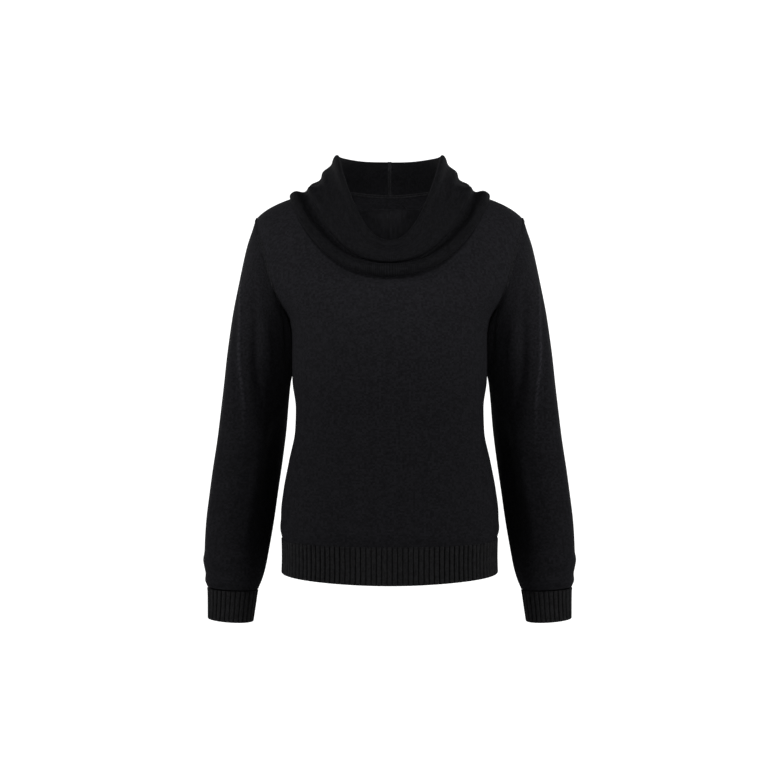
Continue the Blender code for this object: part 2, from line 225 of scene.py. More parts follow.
# The collar's rings, from the neck seam to the free edge that is rolled under.
# Each is given at the side (out, height), at the front and at the back (forward or back, height).
# Clear is its distance from the body, and square how far the ring is from an ellipse.
# At the front the ring drops as a power of the sine of its angle (droop). Lift lets it drop
# later and then run level, and steep makes it follow the neckline.
COLLAR = table(
    "side_out side_height front_out front_height back_out back_height clear square droop lift steep",
    (83.5, 8.0, 77.5, -58.0, 72.5, -4.0, 0, 0.20, 2.0, 2.0, 1.0),
    (82.5, 14.0, 78.0, -50.0, 73.0, 4.0, 0, 0.20, 2.0, 2.0, 0.55),
    (81.5, 19.0, 80.5, -44.5, 73.0, 11.5, 0, 0.18, 2.0, 2.0, 0.25),
    (80.5, 23.5, 85.0, -42.3, 72.7, 18.0, 0, 0.15, 1.95, 2.0, 0),
    (79.5, 27.5, 90.5, -46.0, 72.3, 24.0, 0, 0.15, 1.9, 1.9, 0),
    (78.8, 31.0, 94.0, -60.0, 72.0, 29.0, 0, 0.14, 2.0, 1.3, 0),
    (78.3, 34.3, 98.0, -79.0, 71.8, 33.0, 0, 0.12, 2.15, 0.8, 0),
    (78.0, 37.3, 102.0, -97.0, 72.0, 36.5, 0, 0.10, 2.2, 0.5, 0),
    (77.9, 40.3, 107.5, -104.5, 72.4, 39.5, 0, 0.08, 2.2, 0.3, 0),
    (78.0, 43.5, 112.5, -99.5, 73.2, 42.2, 0, 0.06, 2.1, 0, 0),
    (78.6, 46.5, 115.2, -93.0, 74.8, 44.8, 0, 0.06, 2.0, 0, 0),
    (81.0, 48.3, 119.2, -89.8, 78.5, 46.3, 3, 0.06, 2.0, 0, 0),
    (84.8, 45.2, 124.0, -92.2, 84.0, 44.0, 3, 0.06, 2.0, 0, 0),
    (87.2, 39.5, 126.0, -96.0, 88.5, 37.0, 3, 0.06, 2.0, 0, 0),
    (89.6, 33.2, 126.0, -99.8, 91.5, 28.5, 4, 0.07, 2.0, 0, 0),
    (97.0, 27.0, 128.2, -103.0, 95.5, 20.5, 5, 0.08, 2.0, 0, 0),
    (103.5, 20.6, 130.0, -106.5, 99.0, 11.0, 6, 0.09, 1.9, 0, 0),
    (105.5, 12.8, 131.0, -110.0, 101.0, 1.0, 6, 0.10, 1.9, 0, 0),
    (112.0, 7.6, 131.3, -113.3, 104.5, -8.5, 6, 0.11, 1.8, 0, 0),
    (120.5, 3.6, 130.5, -117.0, 107.5, -19.0, 6, 0.12, 1.8, 0, 0),
    (124.5, -1.8, 127.5, -119.8, 107.5, -29.5, 6, 0.13, 1.7, 0, 0),
    (127.8, -6.4, 121.5, -120.0, 105.0, -36.5, 3.8, 0.14, 1.7, 0, 0),
    (131.7, -9.6, 118.2, -122.0, 104.0, -40.5, 3.2, 0.15, 1.7, 0, 0),
    (136.0, -9.4, 120.7, -124.4, 106.0, -44.0, 4.2, 0.15, 1.6, 0, 0),
    (141.5, -10.0, 126.2, -124.2, 110.5, -47.0, 5.6, 0.15, 1.5, 0, 0),
    (147.0, -11.8, 131.2, -127.0, 114.5, -53.0, 5.6, 0.15, 1.5, 0, 0),
    (151.5, -14.8, 132.8, -132.8, 115.0, -61.0, 4.2, 0.15, 1.5, 0, 0),
    (149.5, -15.5, 129.0, -138.8, 110.5, -67.0, 2.9, 0.15, 1.5, 0, 0),
    (144.5, -14.5, 121.5, -140.2, 103.5, -66.5, 2.9, 0.15, 1.5, 0, 0),
    (140.0, -13.5, 115.5, -136.5, 98.5, -61.0, 2.9, 0.15, 1.5, 0, 0),
)
COLLAR_SEAM = 0.6
# The folds stand further off the body over the front of the shoulder, by this share
FULLER = 0.9

# Folds placed one by one. Each is how far it lifts the cloth (or sinks it), how wide it is, and its
# path. On the front and the back a path is distance from the centre line along the cloth,
# positive to the wearer's left, and height.
FRONT_FOLDS = (
    (3.0, 9, ((-141, -268), (-143, -330), (-158, -420), (-178, -500), (-190, -538))),
    (-2.6, 11, ((-160, -262), (-163, -330), (-178, -420), (-199, -500))),
    (3.0, 9, ((142, -262), (145, -335), (160, -430), (181, -508), (191, -538))),
    (-2.6, 11, ((162, -258), (166, -340), (181, -430), (202, -505))),
    (-2.4, 10, ((-176, -222), (-152, -238), (-118, -246), (-88, -248))),
    (1.6, 9, ((-172, -240), (-146, -258), (-112, -268))),
    (-2.1, 10, ((178, -219), (150, -233), (121, -240), (94, -240))),
    (1.4, 9, ((171, -243), (143, -262), (118, -274))),
    (-1.3, 13, ((-120, -330), (-70, -344), (-20, -342))),
    (-1.1, 12, ((128, -346), (84, -361), (39, -364))),
    (1.2, 15, ((-96, -372), (-40, -388), (22, -384))),
    (-1.5, 12, ((-152, -470), (-108, -498), (-60, -508))),
    (-1.2, 11, ((150, -452), (112, -484), (66, -497))),
    (1.6, 12, ((-130, -512), (-70, -522), (-8, -521))),
    (1.4, 12, ((138, -506), (84, -521), (30, -524))),
    (-1.4, 16, ((-64, -150), (-62, -190), (-58, -236))),
    (-1.2, 16, ((66, -152), (63, -196), (62, -230))),
)
BACK_FOLDS = (
    (2.6, 10, ((-128, -262), (-132, -330), (-146, -420), (-168, -508))),
    (-2.4, 12, ((-150, -256), (-155, -330), (-170, -425), (-188, -502))),
    (2.5, 10, ((130, -270), (134, -345), (150, -436), (170, -500))),
    (-2.4, 12, ((152, -262), (158, -340), (172, -430), (190, -510))),
    (-3.0, 12, ((-172, -214), (-140, -240), (-98, -256), (-58, -262))),
    (2.0, 10, ((-158, -252), (-120, -276), (-76, -288))),
    (-2.7, 12, ((170, -216), (136, -236), (92, -252), (50, -256))),
    (1.8, 10, ((160, -249), (118, -270), (80, -281))),
    (-3.2, 15, ((-104, -352), (-52, -366), (6, -367), (58, -360))),
    (2.2, 13, ((-82, -382), (-18, -394), (44, -391), (98, -380))),
    (-2.3, 13, ((118, -398), (66, -412), (6, -415), (-46, -410))),
    (-1.8, 14, ((-140, -454), (-94, -478), (-38, -486))),
    (1.7, 12, ((-118, -510), (-52, -522), (14, -522), (86, -516))),
    (-2.0, 18, ((-38, -100), (-36, -150), (-30, -205))),
    (-1.8, 18, ((42, -104), (40, -160), (35, -216))),
)
# On the sleeve a path is distance from its outer line round the front, or negative round the
# back, and height.
SLEEVE_FOLDS = (
    (-4.0, 8, ((62, -160), (70, -206), (72, -243), (76, -290), (83, -327), (91, -373), (100, -410))),
    (1.6, 3, ((32, -80), (23, -107), (22, -147), (34, -186), (39, -223), (44, -267), (54, -325), (58, -380))),
    (-1.2, 5, ((20, -150), (25, -186), (30, -223), (35, -267), (44, -325), (48, -370))),
    (2.0, 9, ((91, -200), (99, -265), (105, -311))),
    (-8.0, 20, ((124, -335), (124, -388), (122, -435), (120, -500), (112, -566))),
    (2.4, 10, ((94, -350), (92, -400), (88, -450), (84, -510), (78, -560))),
    (-5.0, 10, ((135, -160), (150, -190), (149, -220), (143, -250), (142, -282))),
    (-1.8, 9, ((140, -332), (104, -348), (66, -352))),
    (1.5, 9, ((128, -362), (92, -380), (52, -384))),
    (-1.6, 9, ((120, -404), (80, -418), (44, -420))),
    (1.3, 9, ((104, -452), (66, -466), (26, -466))),
    (1.7, 8, ((96, -560), (50, -572), (0, -573), (-46, -570))),
    (-1.5, 8, ((88, -588), (44, -594), (-10, -594), (-60, -588))),
    (1.4, 7, ((74, -604), (20, -608), (-40, -606))),
    (-2.6, 15, ((-120, -200), (-128, -260), (-118, -330), (-108, -400), (-110, -490))),
    (2.0, 10, ((-66, -130), (-72, -190), (-66, -262), (-54, -330))),
    (-2.0, 10, ((-150, -330), (-108, -350), (-62, -352))),
    (1.8, 10, ((-136, -370), (-92, -390), (-40, -388))),
    (-1.8, 10, ((-118, -424), (-70, -438), (-22, -434))),
    (-1.6, 9, ((-100, -528), (-56, -540), (-8, -538))),
)
# The line down the sleeve along which a highlight streak is painted into the colour, and how far it reaches
PAINTED_STREAK = ((24, -100), (22, -147), (34, -186), (39, -223), (44, -267), (54, -325), (60, -392))
PAINTED_STREAK_REACH = 2.6
# On the collar a path is the angle in degrees from the centre of the front, positive to the
# wearer's left, and the number of the ring.
COLLAR_FOLDS = (
    (-5.0, 5.5, ((-80, 22.2), (-68, 22.4), (-57, 22.4), (-45, 21.6), (-33, 21.2), (-20, 21.2))),
    (-4.8, 5.5, ((81, 22.3), (67, 22.3), (56, 22.5), (46, 21.7), (32, 21.3), (19, 21.2))),
    (2.0, 6, ((-82, 24.6), (-66, 24.4), (-50, 24), (-33, 23.8), (-15, 24))),
    (2.0, 6, ((83, 24.5), (65, 24.5), (49, 24.1), (34, 23.8), (14, 24))),
    (3.0, 6.5, ((-80, 19.4), (-72, 19.5), (-64, 19.3), (-54, 18.8), (-44, 18.2))),
    (2.8, 6.5, ((79, 19.5), (71, 19.5), (63, 19.2), (53, 18.9), (45, 18.3))),
    (-3.5, 7, ((-78, 21.2), (-70, 21.1), (-61, 20.9), (-50, 20.5), (-38, 20))),
    (-3.3, 7, ((77, 21.3), (69, 21.1), (60, 21), (51, 20.5), (37, 20.1))),
    (-3.0, 6.5, ((-82, 15.2), (-72, 15.2), (-62, 15.3), (-54, 15.4), (-47, 15.4))),
    (-2.8, 6.5, ((81, 15.3), (73, 15.2), (61, 15.2), (55, 15.4), (48, 15.5))),
    (2.0, 9, ((-81, 17), (-70, 17.2), (-58, 17.3), (-46, 16.9), (-36, 16.4))),
    (2.1, 9, ((80, 17.1), (69, 17.3), (59, 17.3), (45, 17), (37, 16.3))),
    (-1.8, 5, ((-20, 14.2), (-10, 14.3), (0, 14.1), (10, 14.3), (19, 14.1))),
    (1.5, 12, ((-160, 17), (-128, 18), (-100, 18.6))),
    (1.5, 12, ((158, 17.4), (130, 17.8), (102, 18.8))),
    (-1.8, 10, ((-150, 14.6), (-124, 15), (-96, 15.4))),
    (-1.7, 10, ((154, 14.8), (122, 15.2), (98, 15.2))),
)
# A collar angle's degree and a ring's step along the cloth
DEGREE = 2.1
RING_STEP = 6.2


def curve(columns, x_name, y_name):
    """A smooth function through two columns of a table that never overshoots its points."""
    order = np.argsort(columns[x_name])
    x, y = columns[x_name][order], columns[y_name][order]
    step, slope = np.diff(x), np.diff(y) / np.diff(x)
    same_way = slope[:-1] * slope[1:] > 0
    safe = np.where(same_way, slope[:-1] * slope[1:], 1.0)
    total = np.where(same_way, slope[:-1] + slope[1:], 1.0)
    inner = np.where(same_way, 2 * safe / total, 0.0)
    tangent = np.concatenate([slope[:1], inner, slope[-1:]])

    def at(value):
        value = np.clip(np.asarray(value, float), x[0], x[-1])
        i = np.clip(np.searchsorted(x, value, side="right") - 1, 0, len(step) - 1)
        t = (value - x[i]) / step[i]
        rise = y[i + 1] - y[i]
        start = step[i] * tangent[i]
        end = step[i] * tangent[i + 1]
        return y[i] + t * (start + t * (3 * rise - 2 * start - end + t * (start + end - 2 * rise)))

    return at


def softened(function, reach):
    """The same function averaged over a short reach, so that its bends have no corners."""
    offsets = np.linspace(-1, 1, 11)
    weights = (1 - offsets**2) ** 2
    weights /= weights.sum()

    def at(value):
        value = np.asarray(value, float)
        return sum(w * function(value + reach * s) for w, s in zip(weights, offsets))

    return at


def spline(at, values, wanted):
    """A smooth line through values that are given at some points, read at the wanted points."""
    at, values, wanted = (np.asarray(v, float) for v in (at, values, wanted))
    count, step = len(at), np.diff(at)
    system, right = np.eye(count), np.zeros(values.shape)
    for k in range(1, count - 1):
        system[k, k - 1 : k + 2] = step[k - 1], 2 * (step[k - 1] + step[k]), step[k]
        after = (values[k + 1] - values[k]) / step[k]
        right[k] = 6 * (after - (values[k] - values[k - 1]) / step[k - 1])
    bend = np.linalg.solve(system, right.reshape(count, -1)).reshape(values.shape)
    i = np.clip(np.searchsorted(at, wanted, side="right") - 1, 0, count - 2)
    shape = (-1,) + (1,) * (values.ndim - 1)
    a, b = ((at[i + 1] - wanted) / step[i]).reshape(shape), ((wanted - at[i]) / step[i]).reshape(shape)
    bow = ((a**3 - a) * bend[i] + (b**3 - b) * bend[i + 1]) * (step[i] ** 2 / 6).reshape(shape)
    return a * values[i] + b * values[i + 1] + bow


plain_width = curve(TORSO, "height", "half_width")
plain_front = curve(TORSO, "height", "front")
plain_back = curve(TORSO, "height", "back")
half_width = softened(plain_width, 9.0)
front_depth = softened(plain_front, 14.0)
back_depth = softened(plain_back, 14.0)


def body_point(angle, height, front):
    """A point of the body's form. The angle is 0 at the side seam and a quarter turn at the centre."""
    depth = front_depth(height) if front else back_depth(height)
    across, forward = np.cos(angle), np.sin(angle)
    power = SQUARENESS
    radius = ((across / half_width(height)) ** power + (forward / depth) ** power) ** (-1 / power)
    return np.stack([radius * across, (-1 if front else 1) * radius * forward, height], axis=-1)


def edge_angle(out, height, front):
    """The angle at which the body's form is this far out from the centre."""
    depth = plain_front(height) if front else plain_back(height)
    share = np.clip(out / plain_width(height), 0, 1)
    return np.arctan2(depth * (1 - share**SQUARENESS) ** (1 / SQUARENESS), out)


def run(line, closed=False):
    """The distance along a line of points, at each of them."""
    if closed:
        line = np.concatenate([line, line[:1]])
    steps = np.linalg.norm(np.diff(line, axis=0), axis=-1)
    return np.concatenate([np.zeros((1,) + steps.shape[1:]), np.cumsum(steps, axis=0)])


def spaced(points, count):
    """Points at even distances along a line of points."""
    along = run(points)
    wanted = np.linspace(0, along[-1], count)
    return np.stack([np.interp(wanted, along, points[:, k]) for k in range(3)], axis=-1)


def steep_share(angle):
    """Goes from 0 at the side to 1 at the centre, late at first and then steeply."""
    return np.sin(np.pi / 2 * np.sin(angle) ** 2) ** 2.6


def armhole_edge(height, front):
    """The armhole's edge at a height, on the body's form."""
    out = curve(ARMHOLE, "height", "front" if front else "back")(height)
    return body_point(edge_angle(out, height, front), height, front)


def armhole_heights():
    """Heights down the armhole, from the underarm to the shoulder, at even distances along its edge."""
    height = np.linspace(UNDERARM, SHOULDER_TIP, 1200)
    along = run(armhole_edge(height, True)) + run(armhole_edge(height, False))
    return np.interp(np.linspace(0, along[-1], ARMHOLE_ROWS), along, height)


def panel_row(side_height, front):
    """Half of one row of the front or the back, from its side or armhole to the centre."""
    edge = 0.0
    if UNDERARM < side_height < SHOULDER_TIP:
        out = curve(ARMHOLE, "height", "front" if front else "back")(side_height)
        edge = float(edge_angle(out, side_height, front))
    centre_name = "front_centre" if front else "back_centre"
    centre_height = curve(ROW_LEVELS, "side", centre_name)(side_height)
    angle = np.linspace(edge, np.pi / 2, 400)
    turn = (angle - edge) / (np.pi / 2 - edge) * np.pi / 2
    into_neck = np.clip((side_height - SHOULDER_TIP) / -SHOULDER_TIP, 0, 1)
    share = np.sin(turn) ** 2
    if front:
        share += into_neck * (steep_share(turn) - share)
    height = side_height + (centre_height - side_height) * share
    return body_point(angle, height, front)


def bare_panel(front):
    """Rows of points over the front or the back, from hem rib to neckline, without its folds."""
    heights = np.concatenate(
        [
            np.linspace(HEM_RIB_TOP + SEAM_GAP / 2, UNDERARM - 2.2, SIDE_ROWS),
            armhole_heights(),
            np.linspace(SHOULDER_TIP + 2.5, -SEAM_GAP / 2, SHOULDER_ROWS),
        ]
    )
    rows = []
    for height in heights:
        half = spaced(panel_row(height, front), PANEL_COLUMNS // 2 + 1)
        rows.append(np.concatenate([half, half[-2::-1] * (-1, 1, 1)]))
    grid = np.array(rows)
    grid[..., 1] += (-1 if front else 1) * SEAM_GAP / 2
    return grid


def form_distance(points):
    """How far points lie outside the body's form, and the directions straight out of it."""

    def inside_out(p):
        depth = np.where(p[..., 1] < 0, front_depth(p[..., 2]), back_depth(p[..., 2]))
        across = np.abs(p[..., 0]) / half_width(p[..., 2])
        forward = np.abs(p[..., 1]) / depth
        return (across**SQUARENESS + forward**SQUARENESS) ** (1 / SQUARENESS) - 1

    shift = np.eye(3) * 0.05
    slope = np.stack([(inside_out(points + s) - inside_out(points - s)) / 0.1 for s in shift], -1)
    steepness = np.linalg.norm(slope, axis=-1)
    return inside_out(points) / steepness, slope / steepness[..., None]


def fold_rise(across, height, folds):
    """How far folds lift the cloth, or sink it, at points that are given by two distances."""
    rise = np.zeros(across.shape)
    for depth, width, path in folds:
        path = np.array(path, float)
        knots = run(path)
        share = np.linspace(0, 1, 40)
        line = spline(knots, path, share * knots[-1])
        for_gap = np.hypot(across[..., None] - line[:, 0], height[..., None] - line[:, 1])
        nearest = for_gap.argmin(-1)
        distance = for_gap.min(-1) / width
        taper = np.sin(np.pi * np.clip(share, 0.02, 0.98))[nearest] ** 0.7
        shape = 1.2 * np.exp(-(distance**2)) - 0.2 * np.exp(-((distance / 2.4) ** 2))
        rise += depth * taper * shape
    return rise


def unevenness(across, height, size):
    """Small slow waves, so that no large face of the cloth is perfectly even."""
    wave = np.sin(across / 31 + 1.3 * np.sin(height / 57)) * np.sin(height / 43 + 0.7)
    wave += 0.6 * np.sin(across / 17 - height / 29 + 2.1) * np.sin(height / 23 + across / 61)
    return size * wave


def edge_fade(distance, reach):
    return 1 - np.exp(-((distance / reach) ** 2))


def panel(front):
    """The front or the back with its folds: points, directions out, and the cloth's flat measure."""
    grid = bare_panel(front)
    out = form_distance(grid)[1]
    columns = run(np.swapaxes(grid, 0, 1)).T
    across = columns - columns[:, -1:] / 2
    # The rows start at the wearer's left
    across = -across
    up = run(grid)
    from_side = np.minimum(columns, columns[:, -1:] - columns)
    fade = edge_fade(from_side, 11) * edge_fade(up, 9) * edge_fade(up[-1] - up, 16)
    folds = FRONT_FOLDS if front else BACK_FOLDS
    rise = fold_rise(across, grid[..., 2], folds) + unevenness(across, grid[..., 2], 0.35)
    blouse = 2.0 * np.exp(-(((up - 15) / 11) ** 2)) * edge_fade(up, 5)
    grid = grid + out * (rise * fade * settings().fold_depth + blouse)[..., None]
    return grid, out, np.stack([across, up], axis=-1)


def armhole_loop():
    """The armhole's edge as a closed loop: from the shoulder down the front and up the back."""
    height = armhole_heights()
    return np.concatenate([armhole_edge(height[::-1], True), armhole_edge(height[1:-1], False)])


def sleeve_section(columns, along, turn):
    """One section across the sleeve or the cuff. A turn of 0 is its outer edge, pi its inner one."""
    outer_height = softened(curve(columns, "along", "outer_height"), 0.03)(along)
    inner_height = softened(curve(columns, "along", "inner_height"), 0.03)(along)
    outer_out = softened(curve(SLEEVE_OUTER, "height", "out"), 8)(outer_height)
    inner_out = softened(curve(SLEEVE_INNER, "height", "out"), 8)(inner_height)
    outer = np.array([outer_out, 0, outer_height])
    inner = np.array([inner_out, 0, inner_height])
    centre = (outer + inner) / 2 + (0, softened(curve(columns, "along", "centre"), 0.03)(along), 0)
    depth = softened(curve(columns, "along", "half_depth"), 0.02)(along)
    across = np.cos(turn)[:, None] * (outer - inner) / 2
    forward = np.sin(turn)[:, None] * np.array([0, -depth, 0])
    return centre + across + forward


def tube_normals(grid):
    """The directions out of a tube of points, or of a sheet that is closed round."""
    around = np.roll(grid, -1, axis=1) - np.roll(grid, 1, axis=1)
    along = np.gradient(grid, axis=0)
    normal = np.cross(around, along)
    long = np.linalg.norm(normal, axis=-1)
    normal[0] = np.where(long[0, :, None] < 0.01, normal[1], normal[0])
    return normal / np.linalg.norm(normal, axis=-1)[..., None]


def sleeve():
    """The left sleeve with its folds, as the front and the back are given."""
    loop = armhole_loop()
    turn = np.linspace(0, 2 * np.pi, len(loop), endpoint=False)
    beside = 0.5 + 1.2 * (1 - np.cos(turn)) / 2
    from_ellipse = loop + beside[:, None] * (1, 0, 0) - sleeve_section(SLEEVE, 0.0, turn)
    rings = []
    for along in np.linspace(0, 1, SLEEVE_ROWS):
        fade = max(0.0, 1 - along / 0.34) ** 2
        rings.append(sleeve_section(SLEEVE, along, turn) + fade * from_ellipse)
    grid = np.array(rings)
    swing = softened(curve(SWING, "along", "forward"), 0.06)(np.linspace(0, 1, SLEEVE_ROWS))
    grid[..., 1] -= swing[:, None] * np.cos(turn)
    out = tube_normals(grid)
    out *= np.sign((out[SLEEVE_ROWS // 2, 0] * (1, 0, 0)).sum())
    level = out[-1] * (1, 1, 0)
    out[-1] = level / np.linalg.norm(level, axis=-1)[:, None]
    half = len(loop) // 2
    around = run(np.swapaxes(grid, 0, 1), closed=True).T
    total = around[:, -1:]
    front_way = around[:, : half + 1]
    back_way = around[:, half:] - total
    across = np.concatenate([front_way, back_way[:, 1:-1]], axis=1)
    down = run(grid)
    up = down[-1] - down
    fade = edge_fade(down, 16) * edge_fade(up, 7)
    bare_height = grid[..., 2]
    rise = fold_rise(across, bare_height, SLEEVE_FOLDS) + unevenness(across + 40, bare_height, 0.3)
    grid = grid + out * (rise * fade * settings().fold_depth)[..., None]
    left = np.stack([np.concatenate([front_way[:, :half], back_way[:, :-1]], axis=1), up], axis=-1)
    up_right = np.roll(up, -1, axis=1)
    right = np.stack([np.concatenate([front_way[:, 1:], back_way[:, 1:]], axis=1), up_right], axis=-1)
    # The last value is how strongly the painted highlight streak shows at each point
    return grid, out, (left, right), fold_rise(across, bare_height, ((1.0, PAINTED_STREAK_REACH, PAINTED_STREAK),))


def neckline():
    """The edges of the front and the back at the neck as a closed loop, from the left shoulder."""
    half = []
    for front in (True, False):
        row = spaced(panel_row(-SEAM_GAP / 2, front), COLLAR_HALF // 2 + 1)
        row = np.concatenate([row, row[-2::-1] * (-1, 1, 1)])
        row[:, 1] += (-1 if front else 1) * SEAM_GAP / 2
        half.append(row)
    loop = np.concatenate([half[0], half[1][-2:0:-1]])
    loop[[0, COLLAR_HALF], 1] = 0
    return loop


def collar_rings():
    """The collar's rings as the table gives them, with the distance down the cloth at each."""
    seam = neckline()
    turn = np.arctan2(-seam[:, 1], seam[:, 0])
    across, forward = np.cos(turn), np.sin(turn)
    front = seam[:, 1] < 0
    edge = np.roll(seam, -1, axis=0) - np.roll(seam, 1, axis=0)
    up = np.cross(form_distance(seam)[1], edge)
    up *= np.sign(up[:, 2:]) / np.linalg.norm(up, axis=1)[:, None]
    fuller = 1 + FULLER * np.where(front, np.abs(np.sin(2 * turn)), 0)
    rings = [seam + up * COLLAR_SEAM]
    for k in range(len(COLLAR["side_out"])):
        ring = {name: values[k] for name, values in COLLAR.items()}
        depth = np.where(front, ring["front_out"], ring["back_out"])
        centre_height = np.where(front, ring["front_height"], ring["back_height"])
        level = forward**2
        droop = np.abs(forward) ** ring["droop"] + ring["lift"] * level**3 * (1 - level)
        droop = np.minimum(1, droop) * (1 - ring["steep"]) + steep_share(turn) * ring["steep"]
        share = np.where(front, droop, level)
        power = 1 - ring["square"]
        x = ring["side_out"] * np.sign(across) * np.abs(across) ** power
        y = -depth * np.sign(forward) * np.abs(forward) ** power
        z = ring["side_height"] + (centre_height - ring["side_height"]) * share
        points = np.stack([x, y, z], axis=-1)
        if ring["clear"]:
            points = off_body(points, ring["clear"] * fuller)
        rings.append(points)
    rings = np.array(rings)
    return rings, run(rings).mean(axis=1)


def collar():
    """The collar, up from the neck seam, over the turn and down the folds to the free edge."""
    rings, knots = collar_rings()
    seam = rings[0]
    wanted = np.linspace(0, knots[-1], COLLAR_ROWS)
    number = np.interp(wanted, knots, np.arange(len(knots)) - 1.0)
    grid = spline(knots, rings, wanted)
    degrees = np.degrees(np.arctan2(grid[0, :, 0], -grid[0, :, 1]))
    out = tube_normals(grid)
    rise = fold_rise(
        np.tile(degrees * DEGREE, (COLLAR_ROWS, 1)),
        np.tile(number[:, None] * RING_STEP, (1, len(seam))),
        tuple((d, w, tuple((a * DEGREE, r * RING_STEP) for a, r in path)) for d, w, path in COLLAR_FOLDS),
    )
    # The side of the cloth that shows, inside the neck and outside the folds
    middle = COLLAR_ROWS // 5
    shows = np.sign((out[middle] * -grid[middle] * (1, 1, 0)).sum())
    out = out * shows
    fade = edge_fade(wanted, 10) * edge_fade(wanted[-1] - wanted, 8)
    rise = rise + unevenness(degrees[None] * 1.9, wanted[:, None] * 1.3, 0.3)
    grid = grid + out * (rise * fade[:, None] * settings().fold_depth)[..., None]
    count = len(seam)
    back = 3 * count // 4
    share = (np.arange(count) - back) % count / count
    across_left = (share - 0.5) * 760
    across_right = ((np.arange(count) - back) % count + 1) / count * 760 - 380
    down = np.repeat(wanted[:, None], count, axis=1)
    left = np.stack([np.tile(across_left, (COLLAR_ROWS, 1)), down], axis=-1)
    right = np.stack([np.tile(across_right, (COLLAR_ROWS, 1)), down], axis=-1)
    return grid, out, (left, right)


def off_body(points, clearance):
    """Moves points that are nearer to the body's form than the clearance straight out from it."""
    for _ in range(6):
        distance, out = form_distance(points)
        points = points + out * np.maximum(0, clearance - distance)[..., None]
    return points


def hem_rows(front, shares):
    """Lines of points around half of the hem rib, from its top down."""
    dip = HEM_FRONT_DIP if front else HEM_BACK_DIP
    angle = np.linspace(0, np.pi / 2, 400)
    rows = []
    for share in shares:
        top = HEM_RIB_TOP - SEAM_GAP / 2
        height = top + (HEM_SIDE - dip * np.sin(angle) ** 2 - top) * share
        half = body_point(angle, height, front)
        rows.append(np.concatenate([half, half[-2::-1] * (-1, 1, 1)]))
    rows = np.array(rows)
    rows[..., 1] += (-1 if front else 1) * SEAM_GAP / 2
    return rows


def settings():
    return bpy.context.scene.sweater_cloth


def looks():
    return bpy.context.scene.sweater_looks


def stage_settings():
    return bpy.context.scene.sweater_stage


def make_mesh(name, points, faces, flat, look, mirror=False, caps=()):
    """A smooth mesh with the cloth's flat measure as its UV map, its faces turned outwards."""
    points = np.asarray(points, float) * MM
    if mirror:
        points = points * (-1, 1, 1)
    a, b, c, d = (points[faces[:, k]] for k in range(4))
    volume = (a * np.cross(b, c)).sum() + (a * np.cross(c, d)).sum()
    if volume < 0:
        faces, flat = faces[:, ::-1], flat[:, ::-1]
        caps = [cap[::-1] for cap in caps]
    mesh = bpy.data.meshes.new(name)
    mesh.from_pydata(points.tolist(), [], faces.tolist() + [cap.tolist() for cap in caps])
    layer = mesh.uv_layers.new(name=CLOTH_MAP)
    flat = np.concatenate([flat.reshape(-1), np.zeros(2 * sum(len(cap) for cap in caps))]) * MM
    layer.data.foreach_set("uv", flat.astype(np.float32))
    mesh.materials.append(look)
    mesh.shade_smooth()
    mesh.set_sharp_from_angle(angle=math.radians(62))
    mesh.validate()
    piece = bpy.data.objects.new(name, mesh)
    bpy.context.scene.collection.objects.link(piece)
    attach(piece, "root")
    return piece


def grid_faces(rows, columns, closed, start=0):
    index = np.arange(rows * columns).reshape(rows, columns) + start
    if closed:
        index = np.concatenate([index, index[:, :1]], axis=1)
    corners = (index[:-1, :-1], index[:-1, 1:], index[1:, 1:], index[1:, :-1])
    return np.stack(corners, axis=-1).reshape(-1, 4), index


def cloth_wall(name, grid, out, flat, look, thickness, mirror=False):
    """A thin wall of cloth over rows of points: a sheet, or a tube where flat has two sides."""
    closed = isinstance(flat, tuple)
    left, right = flat if closed else (flat[:, :-1], flat[:, 1:])
    rows, columns = grid.shape[:2]
    half = thickness / MM / 2
    points = np.concatenate([(grid + out * half).reshape(-1, 3), (grid - out * half).reshape(-1, 3)])
    skin, index = grid_faces(rows, columns, closed)
    skin_flat = np.stack([left[:-1], right[:-1], right[1:], left[1:]], axis=2).reshape(-1, 4, 2)
    lining = skin[:, ::-1] + rows * columns
    faces, flats = [skin, lining], [skin_flat, skin_flat[:, ::-1]]
    for row, way in ((0, 1), (-1, -1)):
        edge = index[row]
        rim = np.stack([edge[1:], edge[:-1], edge[:-1] + rows * columns, edge[1:] + rows * columns], -1)
        rim_flat = np.stack([right[row], left[row], left[row], right[row]], axis=1)
        faces.append(rim[:, ::way])
        flats.append(rim_flat[:, ::way])
    if not closed:
        for column, way in ((0, 1), (-1, -1)):
            edge = index[:, column]
            rim = np.stack([edge[:-1], edge[1:], edge[1:] + rows * columns, edge[:-1] + rows * columns], -1)
            side = flat[:, column]
            rim_flat = np.stack([side[:-1], side[1:], side[1:], side[:-1]], axis=1)
            faces.append(rim[:, ::way])
            flats.append(rim_flat[:, ::way])
    return make_mesh(name, points, np.concatenate(faces), np.concatenate(flats), look, mirror)


def level_out(ring, closed):
    """Level directions that point out of a ring of points."""
    if closed:
        along = np.roll(ring, -1, axis=0) - np.roll(ring, 1, axis=0)
    else:
        along = np.gradient(ring, axis=0)
    out = np.stack([along[:, 1], -along[:, 0], np.zeros(len(ring))], axis=-1)
    out /= np.linalg.norm(out, axis=1)[:, None]
    away = ring[:, :2] - ring[:, :2].mean(axis=0)
    return out if (out[:, :2] * away).sum() > 0 else -out


